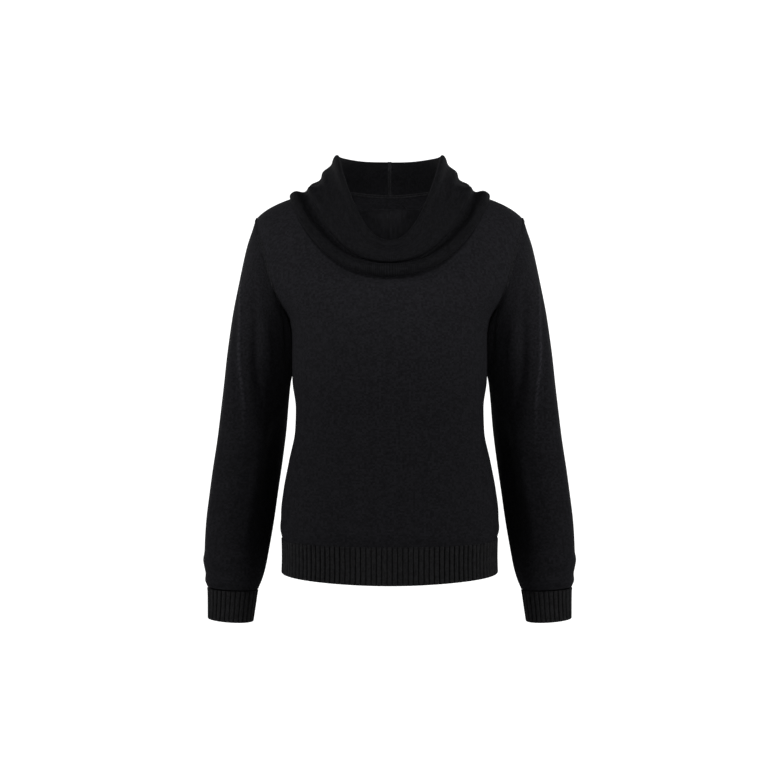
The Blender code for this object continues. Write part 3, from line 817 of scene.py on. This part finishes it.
def rib_band(name, rows, ribs, closed, look, mirror=False):
    """A rib band: rounded ribs outside over a plain inside, on lines of points from its top down."""
    cloth = settings()
    per_rib = len(RIB_ACROSS)
    where = np.concatenate([np.arange(ribs)[:, None] + RIB_ACROSS]).reshape(-1)
    profile = np.tile(RIB_PROFILE, ribs)
    if not closed:
        where = np.append(where, ribs)
        profile = np.append(profile, 0.0)
    rib_number = np.floor(where)
    outer, inner = [], []
    ends = np.linspace(0, 1, len(rows))
    length = run(rows[:, 0])
    for k, row in enumerate(rows):
        line = np.concatenate([row, row[:1]]) if closed else row
        from_end = length[-1] - length[k]
        rounded = math.sqrt(max(0.0, 1 - max(0.0, 1 - from_end / 1.5) ** 2))
        sway = 0.05 * np.sin(rib_number * 2.4 + ends[k] * 3.1) * np.sin(np.pi * ends[k])
        along = run(line) / run(line)[-1]
        shares = (where + sway * profile) / ribs
        base = np.stack([np.interp(shares, along, line[:, j]) for j in range(3)], axis=-1)
        away = level_out(base, closed)
        height = cloth.rib_rise / MM * (0.94 + 0.06 * np.sin(rib_number * 1.7)) * profile
        edge = 0.35 + 0.65 * rounded
        outer.append(base + away * (height * edge - 0.6 * (1 - rounded))[:, None])
        inner.append(base - away * (cloth.rib_cloth / MM * (0.55 + 0.45 * rounded)))
    outer, inner = np.array(outer), np.array(inner)
    count = outer.shape[1]
    flat_across = where * RIB_WALES * looks().wale / MM
    flat = np.stack([np.tile(flat_across, (len(rows), 1)), np.repeat(-length[:, None], count, axis=1)], -1)
    skin, index = grid_faces(len(rows), count, closed)
    if closed:
        last = flat[:, :1] + (ribs * RIB_WALES * looks().wale / MM, 0)
        wide = np.concatenate([flat, last], axis=1)
    else:
        wide = flat
    left, right = wide[:, :-1], wide[:, 1:]
    total = len(rows) * count
    skin_flat = np.stack([left[:-1], right[:-1], right[1:], left[1:]], axis=2).reshape(-1, 4, 2)
    faces, flats = [skin, skin[:, ::-1] + total], [skin_flat, skin_flat[:, ::-1]]
    for row, way in ((0, 1), (-1, -1)):
        edge = index[row]
        rim = np.stack([edge[1:], edge[:-1], edge[:-1] + total, edge[1:] + total], -1)
        rim_flat = np.stack([right[row], left[row], left[row], right[row]], axis=1)
        faces.append(rim[:, ::way])
        flats.append(rim_flat[:, ::way])
    if not closed:
        for column, way in ((0, 1), (-1, -1)):
            edge = index[:, column]
            rim = np.stack([edge[:-1], edge[1:], edge[1:] + total, edge[:-1] + total], -1)
            side = flat[:, column]
            rim_flat = np.stack([side[:-1], side[1:], side[1:], side[:-1]], axis=1)
            faces.append(rim[:, ::way])
            flats.append(rim_flat[:, ::way])
    points = np.concatenate([outer.reshape(-1, 3), inner.reshape(-1, 3)])
    return make_mesh(name, points, np.concatenate(faces), np.concatenate(flats), look, mirror)


# Across a linked seam and out of the cloth, in shares of the seam's width and rise
LINKED = ((-0.5, -0.3), (-0.4, 0.55), (-0.27, 0.95), (-0.14, 0.7), (0, 0.2))
LINKED += ((0.14, 0.7), (0.27, 0.95), (0.4, 0.55), (0.5, -0.3), (0, -0.5))


def seam_strip(line, out, closed, width, rise, lift):
    """Points, faces and flat measure of one linked seam along a line of points on the cloth."""
    if closed:
        along = np.roll(line, -1, axis=0) - np.roll(line, 1, axis=0)
    else:
        along = np.gradient(line, axis=0)
    along /= np.linalg.norm(along, axis=1)[:, None]
    out = out - along * (out * along).sum(-1)[:, None]
    out /= np.linalg.norm(out, axis=1)[:, None]
    side = np.cross(along, out)
    ring = np.array([line + side * a * width + out * (lift + b * rise) for a, b in LINKED])
    grid = np.swapaxes(ring, 0, 1)
    rows, columns = grid.shape[:2]
    down = run(line, closed=closed)[:rows]
    wide = np.linspace(0, width * 1.4, columns + 1)
    left = np.stack([np.tile(wide[:-1], (rows, 1)), np.repeat(down[:, None], columns, axis=1)], -1)
    right = np.stack([np.tile(wide[1:], (rows, 1)), np.repeat(down[:, None], columns, axis=1)], -1)
    faces, index = grid_faces(rows, columns, True)
    flat = np.stack([left[:-1], right[:-1], right[1:], left[1:]], axis=2).reshape(-1, 4, 2)
    if closed:
        first, last = index[0], index[-1]
        join = np.stack([last[:-1], last[1:], first[1:], first[:-1]], -1)
        faces = np.concatenate([faces, join])
        flat = np.concatenate([flat, np.stack([left[-1], right[-1], right[-1] + (0, 2), left[-1] + (0, 2)], 1)])
        caps = []
    else:
        caps = [index[0, :-1][::-1], index[-1, :-1]]
    return grid.reshape(-1, 3), faces, flat, caps


def linked_seam(name, strips, look, mirror=False):
    """One piece made of linked seams."""
    points, faces, flats, caps, start = [], [], [], [], 0
    for strip_points, strip_faces, strip_flat, strip_caps in strips:
        points.append(strip_points)
        faces.append(strip_faces + start)
        flats.append(strip_flat)
        caps += [cap + start for cap in strip_caps]
        start += len(strip_points)
    points, faces, flats = np.concatenate(points), np.concatenate(faces), np.concatenate(flats)
    return make_mesh(name, points, faces, flats, look, mirror, caps)


def join_socket(tree, value, socket):
    """Puts a number, a colour or another node's output into a socket."""
    if hasattr(value, "is_output"):
        tree.links.new(value, socket)
    else:
        socket.default_value = value


def maths(tree, operation, *values):
    node = tree.nodes.new("ShaderNodeMath")
    node.operation = operation
    for value, socket in zip(values, node.inputs):
        join_socket(tree, value, socket)
    return node.outputs[0]


def ranged(tree, value, low, high):
    """A value between 0 and 1 moved to lie between low and high."""
    return maths(tree, "MULTIPLY_ADD", value, high - low, low)


def noise(tree, coordinates, scale, detail):
    node = tree.nodes.new("ShaderNodeTexNoise")
    tree.links.new(coordinates, node.inputs["Vector"])
    node.inputs["Scale"].default_value = scale
    node.inputs["Detail"].default_value = detail
    node.inputs["Roughness"].default_value = 0.6
    return node.outputs["Fac"]


def knit_look(name, colour, relief, ribbed=False):
    """Fine plain knit: rows of small V stitches on the cloth's own UV map, with a heathered colour, painted shade in
    the grooves and a painted highlight along the sleeve's streak.
    """
    made = bpy.data.materials.get(name)
    if made:
        return made
    look = looks()
    made = bpy.data.materials.new(name)
    made.use_nodes = True
    tree = made.node_tree
    shader = tree.nodes["Principled BSDF"]
    flat = tree.nodes.new("ShaderNodeUVMap")
    flat.uv_map = CLOTH_MAP
    parts = tree.nodes.new("ShaderNodeSeparateXYZ")
    tree.links.new(flat.outputs["UV"], parts.inputs[0])
    place = tree.nodes.new("ShaderNodeTexCoord").outputs["Object"]

    # Across a wale: 0 in its middle, 1 between it and the next, with one leg of the V in between
    wales = maths(tree, "MULTIPLY", parts.outputs["X"], 1 / look.wale)
    in_wale = maths(tree, "SUBTRACT", maths(tree, "FRACT", wales), 0.5)
    leg = maths(tree, "MULTIPLY", maths(tree, "ABSOLUTE", in_wale), 2.0)
    from_leg = maths(tree, "MULTIPLY_ADD", leg, 2.0, -1.0)
    across = maths(tree, "SUBTRACT", 1.0, maths(tree, "MULTIPLY", from_leg, from_leg))
    # Along a wale: the legs lean outwards as they rise
    courses = maths(tree, "MULTIPLY", parts.outputs["Y"], 1 / look.course)
    lean = maths(tree, "MULTIPLY_ADD", leg, -0.62, courses)
    from_stitch = maths(tree, "MULTIPLY_ADD", maths(tree, "FRACT", lean), 2.0, -1.0)
    along = maths(tree, "MULTIPLY_ADD", maths(tree, "MULTIPLY", from_stitch, from_stitch), -0.5, 1.0)
    stitch = maths(tree, "MULTIPLY", across, along)

    fuzz = noise(tree, place, 1400, 2)
    height = maths(tree, "MULTIPLY_ADD", fuzz, 0.35, stitch)
    bump = tree.nodes.new("ShaderNodeBump")
    bump.inputs["Strength"].default_value = 1.0
    bump.inputs["Distance"].default_value = relief
    tree.links.new(height, bump.inputs["Height"])
    tree.links.new(bump.outputs["Normal"], shader.inputs["Normal"])

    # Each stitch has its own depth of colour, and the yarn is a little uneven over the garment. Painted shade darkens
    # the grooves, and a painted highlight lightens the streak down the sleeves.
    cell = tree.nodes.new("ShaderNodeCombineXYZ")
    tree.links.new(maths(tree, "FLOOR", wales), cell.inputs[0])
    tree.links.new(maths(tree, "FLOOR", lean), cell.inputs[1])
    own = tree.nodes.new("ShaderNodeTexWhiteNoise")
    own.noise_dimensions = "2D"
    tree.links.new(cell.outputs[0], own.inputs["Vector"])
    heather = ranged(tree, own.outputs["Value"], 1 - look.heather, 1 + look.heather)
    patches_and_painted_streak = ranged(tree, noise(tree, place, 300, 2), 0.88, 1.12)
    # Painted shade: the colour darkens between the wales, where the loops shade one another
    painted_groove_shade = ranged(tree, across, 0.3, 1.35)
    # Painted highlight: the colour is brightened up to threefold along the streak down each sleeve
    painted_streak = tree.nodes.new("ShaderNodeAttribute")
    painted_streak.attribute_name = "painted_streak"
    patches_and_painted_streak = maths(tree, "MULTIPLY", patches_and_painted_streak, ranged(tree, painted_streak.outputs["Fac"], 1.0, 3.0))
    depth = maths(tree, "MULTIPLY", maths(tree, "MULTIPLY", heather, patches_and_painted_streak), painted_groove_shade)
    if ribbed:
        # Painted shade: the colour darkens to about a third in the grooves between the ribs
        in_rib = maths(tree, "FRACT", maths(tree, "DIVIDE", wales, RIB_WALES))
        from_top = maths(tree, "ABSOLUTE", maths(tree, "MULTIPLY_ADD", in_rib, 2.0, -1.0))
        depth = maths(tree, "MULTIPLY", depth, ranged(tree, maths(tree, "POWER", from_top, 5.0), 1.0, 0.35))
    tint = tree.nodes.new("ShaderNodeVectorMath")
    tint.operation = "SCALE"
    tint.inputs[0].default_value = colour
    tree.links.new(depth, tint.inputs["Scale"])
    tree.links.new(tint.outputs[0], shader.inputs["Base Color"])

    shader.inputs["Roughness"].default_value = 0.86
    shader.inputs["Specular IOR Level"].default_value = 0.05
    shader.inputs["Sheen Weight"].default_value = look.sheen
    shader.inputs["Sheen Roughness"].default_value = 0.42
    shader.inputs["Sheen Tint"].default_value = (0.82, 0.82, 0.92, 1.0)
    return made


def body_look():
    return knit_look("plain_knit", looks().knit_colour, 0.00032)


def rib_look():
    return knit_look("ribbed_knit", looks().rib_colour, 0.00026, ribbed=True)


# Painted shade: the collar is the plain knit at half its colour, standing in for the shade in its folds
def cowl_look():
    return knit_look("cowl_knit_shaded", looks().cowl_shaded_colour, 0.00032)


# Painted highlight: the linking yarn is made lighter than the knit, for the light that catches the seam's raised
# stitches
def seam_look():
    return knit_look("linked_yarn_highlighted", looks().seam_colour_with_highlight, 0.0003)


class SweaterCloth(bpy.types.PropertyGroup):
    """Sizes of the cloth and its seams."""

    thickness: bpy.props.FloatProperty(
        name="Cloth Thickness", description="Thickness of the plain knit", default=0.0014, unit="LENGTH"
    )
    rib_cloth: bpy.props.FloatProperty(
        name="Rib Ground", description="Thickness of the rib's ground", default=0.0014, unit="LENGTH"
    )
    rib_rise: bpy.props.FloatProperty(
        name="Rib Rise", description="How far a rib stands over its grooves", default=0.002, unit="LENGTH"
    )
    seam_width: bpy.props.FloatProperty(
        name="Seam Width", description="Width of the linked armhole seam", default=0.006, unit="LENGTH"
    )
    fold_depth: bpy.props.FloatProperty(
        name="Fold Depth", description="Depth of the folds, as a share of the drawn one", default=1.0,
        subtype="FACTOR", min=0.0, max=1.5,
    )


class SweaterLooks(bpy.types.PropertyGroup):
    """Colours and stitches."""

    knit_colour: bpy.props.FloatVectorProperty(
        name="Knit", description="Colour of the plain knit", subtype="COLOR", default=(0.0098, 0.0097, 0.0114)
    )
    # Painted shade: the collar's knit is a darker copy of the plain knit
    cowl_shaded_colour: bpy.props.FloatVectorProperty(
        name="Cowl", description="Colour of the collar's knit", subtype="COLOR", default=(0.0049, 0.0049, 0.0057)
    )
    rib_colour: bpy.props.FloatVectorProperty(
        name="Rib", description="Colour of the ribs", subtype="COLOR", default=(0.0132, 0.0132, 0.014)
    )
    # Painted highlight: the seams are lighter than the knit they join
    seam_colour_with_highlight: bpy.props.FloatVectorProperty(
        name="Seams", description="Colour of the linking yarn", subtype="COLOR", default=(0.0125, 0.0125, 0.0138)
    )
    wale: bpy.props.FloatProperty(
        name="Wale", description="Width of one stitch", default=0.00315, unit="LENGTH"
    )
    course: bpy.props.FloatProperty(
        name="Course", description="Height of one stitch", default=0.0023, unit="LENGTH"
    )
    heather: bpy.props.FloatProperty(
        name="Heather", description="How much single stitches differ in depth of colour", default=0.28,
        subtype="FACTOR", min=0.0, max=1.0,
    )
    sheen: bpy.props.FloatProperty(
        name="Sheen", description="Light caught by the fibres at a shallow angle", default=0.01,
        subtype="FACTOR", min=0.0, max=1.0,
    )


class SweaterStage(bpy.types.PropertyGroup):
    """The floor, the backdrop, the lights and the camera."""

    floor_height: bpy.props.FloatProperty(
        name="Floor", description="Height of the floor", default=-1.15, unit="LENGTH"
    )
    pale: bpy.props.FloatVectorProperty(
        name="Backdrop", description="Colour of the floor and the backdrop", subtype="COLOR",
        default=(0.3, 0.3, 0.3),
    )
    glow: bpy.props.FloatProperty(
        name="Backdrop Glow", description="How brightly the backdrop is lit from behind", default=0.97,
        subtype="FACTOR", min=0.0, max=2.0,
    )
    key_light: bpy.props.FloatProperty(name="Key Lights", description="Power", default=18.0, unit="POWER")
    neck_light: bpy.props.FloatProperty(name="Neck Light", description="Power", default=170.0, unit="POWER")
    rim_light: bpy.props.FloatProperty(name="Rim Lights", description="Power", default=9.0, unit="POWER")
    surround: bpy.props.FloatProperty(
        name="Surround", description="Strength of the light from above", default=0.08,
        subtype="FACTOR", min=0.0, max=3.0,
    )


class SWEATER_OT_body(bpy.types.Operator):
    """Make the front and the back, each one sheet from hem rib to neckline"""

    bl_idname = "sweater.body"
    bl_label = "Front and Back"

    def execute(self, context):
        thickness = context.scene.sweater_cloth.thickness
        for side, cut, area in (("front", (0.47, 0.66), 0.233), ("back", (0.46, 0.65), 0.236)):
            grid, out, flat = panel(side == "front")
            piece = cloth_wall(side + "_panel", grid, out, flat, body_look(), thickness)
            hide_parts(side)
        return {"FINISHED"}


class SWEATER_OT_sleeves(bpy.types.Operator):
    """Make the two sleeves, each one sheet closed by an underarm seam"""

    bl_idname = "sweater.sleeves"
    bl_label = "Sleeves"

    def execute(self, context):
        thickness = context.scene.sweater_cloth.thickness
        grid, out, flat, painted_streak = sleeve()
        for side in ("left", "right"):
            name = "sleeve_cloth_" + side
            piece = cloth_wall(name, grid, out, flat, body_look(), thickness, side == "right")
            # Painted highlight: the streak down each sleeve, kept for the knit's colour
            painted_streak_layer = piece.data.attributes.new("painted_streak", "FLOAT", "POINT")
            painted_streak_layer.data.foreach_set("value", np.tile(np.clip(painted_streak, 0, 1).ravel(), 2).astype(np.float32))
            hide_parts("sleeve_" + side)
        return {"FINISHED"}


class SWEATER_OT_collar(bpy.types.Operator):
    """Make the cowl collar, one sheet turned down over itself and rolled under"""

    bl_idname = "sweater.collar"
    bl_label = "Cowl Collar"

    def execute(self, context):
        grid, out, flat = collar()
        thickness = context.scene.sweater_cloth.thickness
        piece = cloth_wall("cowl", grid, out, flat, cowl_look(), thickness)
        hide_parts("collar")
        return {"FINISHED"}


class SWEATER_OT_ribs(bpy.types.Operator):
    """Make the hem ribs and the cuffs"""

    bl_idname = "sweater.ribs"
    bl_label = "Hem Ribs and Cuffs"

    def execute(self, context):
        shares = np.concatenate([[0, 0.02, 0.06], np.linspace(0.14, 0.93, 9), [0.965, 0.982, 0.993, 1.0]])
        for side in ("front", "back"):
            rows = hem_rows(side == "front", shares)
            piece = rib_band("hem_rib_knit_" + side, rows, HEM_RIBS_HALF, False, rib_look())
            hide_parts("hem_rib_" + side)
        turn = np.linspace(0, 2 * np.pi, 400, endpoint=False)
        rows = np.array([sleeve_section(CUFF, along, turn) for along in shares])
        for side in ("left", "right"):
            piece = rib_band("cuff_knit_" + side, rows, CUFF_RIBS, True, rib_look(), side == "right")
            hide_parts("cuff_" + side)
        return {"FINISHED"}


class SWEATER_OT_seams(bpy.types.Operator):
    """Make the linked seams at the armholes, sides, shoulders and neck"""

    bl_idname = "sweater.seams"
    bl_label = "Linked Seams"

    def execute(self, context):
        width = context.scene.sweater_cloth.seam_width / MM
        look = seam_look()
        front, front_out, _ = panel(True)
        back, back_out, _ = panel(False)
        tube, tube_out, _, _ = sleeve()
        loop = armhole_loop()
        loop_out = form_distance(loop)[1] + tube_out[0] * 0.6
        line = (loop + tube[0]) / 2
        under = SIDE_ROWS + 1
        shoulder = SIDE_ROWS + ARMHOLE_ROWS - 1
        side_line = (front[:under, 0] + back[:under, 0]) / 2
        tip_line = (front[shoulder:, 0] + back[shoulder:, 0]) / 2
        half = tube.shape[1] // 2
        strips = {
            "armhole_seam": [seam_strip(line, loop_out, True, width, 1.5, 0.7)],
            "side_seam": [
                seam_strip(side_line, np.tile((1.0, 0, 0), (len(side_line), 1)), False, 2.6, 0.5, 0.45),
                seam_strip(tube[:, half], tube_out[:, half], False, 2.6, 0.5, 0.45),
            ],
            "shoulder_seam": [seam_strip(tip_line, front_out[shoulder:, 0], False, 3.0, 0.5, 0.45)],
        }
        for name, parts in strips.items():
            for side in ("left", "right"):
                piece = linked_seam(f"{name}_{side}", parts, look, side == "right")
        grid, out, _ = collar()
        back_line = 3 * grid.shape[1] // 4
        neck = grid[0]
        joins = [
            seam_strip(grid[1:, back_line], out[1:, back_line], False, 6.0, 1.4, 0.6),
            seam_strip(neck, -form_distance(neck)[1], True, 6.5, 1.3, 0.5),
        ]
        linked_seam("neck_seam", joins, look)
        return {"FINISHED"}


class SWEATER_OT_stage(bpy.types.Operator):
    """Make the pale floor and backdrop, the soft lights and the camera"""

    bl_idname = "sweater.stage"
    bl_label = "Stage"

    def execute(self, context):
        stage = context.scene.sweater_stage
        scene = context.scene
        self.sweep(stage)
        self.lights(stage)
        self.camera(scene)
        world = bpy.data.worlds.new("studio")
        world.use_nodes = True
        world.node_tree.nodes["Background"].inputs["Color"].default_value = (1.0, 1.0, 1.0, 1.0)
        world.node_tree.nodes["Background"].inputs["Strength"].default_value = stage.surround
        scene.world = world
        scene.view_settings.view_transform = "Standard"
        return {"FINISHED"}

    def sweep(self, stage):
        """A round floor that curves up into a low wall all round."""
        floor = stage.floor_height
        profile = [(0.02, 0.0), (1.0, 0.0), (2.4, 0.0), (3.6, 0.0)]
        for k in range(1, 13):
            angle = math.radians(k * 7.5)
            profile.append((3.6 + 1.6 * math.sin(angle), 1.6 * (1 - math.cos(angle))))
        profile.append((5.2, 3.6))
        count = 96
        points = [
            (r * math.cos(t * math.tau / count), r * math.sin(t * math.tau / count), floor + z)
            for r, z in profile
            for t in range(count)
        ]
        faces = grid_faces(len(profile), count, True)[0].tolist()
        faces.append(list(range(count))[::-1])
        mesh = bpy.data.meshes.new("sweep")
        mesh.from_pydata(points, [], faces)
        mesh.shade_smooth()
        sweep = bpy.data.objects.new("sweep", mesh)
        bpy.context.scene.collection.objects.link(sweep)
        paper = bpy.data.materials.new("pale_paper")
        paper.use_nodes = True
        tree = paper.node_tree
        shader = tree.nodes["Principled BSDF"]
        shader.inputs["Roughness"].default_value = 0.9
        shader.inputs["Base Color"].default_value = (*stage.pale, 1.0)
        shader.inputs["Emission Color"].default_value = (1.0, 1.0, 1.0, 1.0)
        shader.inputs["Emission Strength"].default_value = stage.glow
        mesh.materials.append(paper)
        # The glow is for the backdrop alone, and the lamps light the sweater
        own = bpy.data.collections.new("lit_by_backdrop")
        own.objects.link(sweep)
        sweep.light_linking.receiver_collection = own

    def lights(self, stage):
        spots = (
            ("key_left", (1.56, -0.8, 0.0), (0.0, 0.0, -0.2), 0.6, 0.9, stage.key_light),
            ("key_right", (-1.56, -0.8, 0.0), (0.0, 0.0, -0.2), 0.6, 0.9, stage.key_light),
            ("rim_left", (1.2, 1.4, 0.1), (0.0, 0.0, -0.3), 0.7, 1.6, stage.rim_light),
            ("rim_right", (-1.2, 1.4, 0.1), (0.0, 0.0, -0.3), 0.7, 1.6, stage.rim_light),
        )
        for name, place, aim, wide, tall, power in spots:
            light = bpy.data.lights.new(name, "AREA")
            light.shape = "RECTANGLE"
            light.size = wide
            light.size_y = tall
            light.energy = power
            self.hang(light, place, aim)
        # A narrow lamp over the camera looks into the open neck
        light = bpy.data.lights.new("neck_light", "SPOT")
        light.spot_size = math.radians(16)
        light.spot_blend = 1.0
        light.shadow_soft_size = 0.18
        light.energy = stage.neck_light
        self.hang(light, (0.0, -2.32, 0.48), (0.0, 0.03, 0.0))

    def hang(self, light, place, aim):
        lamp = bpy.data.objects.new(light.name, light)
        lamp.location = place
        lamp.rotation_euler = aimed(np.array(aim) - np.array(place))
        lamp.visible_camera = False
        bpy.context.scene.collection.objects.link(lamp)

    def camera(self, scene):
        data = bpy.data.cameras.new("camera")
        data.lens = 71.46
        data.sensor_width = 36.0
        camera = bpy.data.objects.new("camera", data)
        target, distance, raised = np.array((0.0005, 0.0, -0.3131)), 2.4, math.radians(2.0)
        place = target + distance * np.array((0.0, -math.cos(raised), math.sin(raised)))
        camera.location = place
        camera.rotation_euler = aimed(target - place)
        scene.collection.objects.link(camera)
        scene.camera = camera


def aimed(way):
    """The turn that points a camera or a lamp along a way."""
    x, y, z = way / np.linalg.norm(way)
    return (math.acos(-z), 0.0, math.atan2(-x, y))


class SWEATER_PT_panel(bpy.types.Panel):
    """The sweater's sizes, looks and pieces"""

    bl_label = "Sweater"
    bl_idname = "SWEATER_PT_panel"
    bl_space_type = "VIEW_3D"
    bl_region_type = "UI"
    bl_category = "Sweater"

    def draw(self, context):
        scene = context.scene
        for group in (scene.sweater_cloth, scene.sweater_looks, scene.sweater_stage):
            box = self.layout.box()
            for name in group.bl_rna.properties.keys():
                if name not in ("rna_type", "name"):
                    box.prop(group, name)
        for kind in PIECES:
            self.layout.operator(kind.bl_idname)


GROUPS = (SweaterCloth, SweaterLooks, SweaterStage)
PIECES = (SWEATER_OT_body, SWEATER_OT_sleeves, SWEATER_OT_collar, SWEATER_OT_ribs, SWEATER_OT_seams, SWEATER_OT_stage)


def register():
    for kind in GROUPS + PIECES + (SWEATER_PT_panel,):
        bpy.utils.register_class(kind)
    bpy.types.Scene.sweater_cloth = bpy.props.PointerProperty(type=SweaterCloth)
    bpy.types.Scene.sweater_looks = bpy.props.PointerProperty(type=SweaterLooks)
    bpy.types.Scene.sweater_stage = bpy.props.PointerProperty(type=SweaterStage)


def unregister():
    del bpy.types.Scene.sweater_stage
    del bpy.types.Scene.sweater_looks
    del bpy.types.Scene.sweater_cloth
    for kind in reversed(GROUPS + PIECES + (SWEATER_PT_panel,)):
        bpy.utils.unregister_class(kind)


def main():
    register()
    bpy.ops.object.select_all(action="DESELECT")
    bpy.ops.sweater.body()
    bpy.ops.sweater.sleeves()
    bpy.ops.sweater.collar()
    bpy.ops.sweater.ribs()
    bpy.ops.sweater.seams()
    bpy.ops.sweater.stage()


if __name__ == "__main__":
    main()
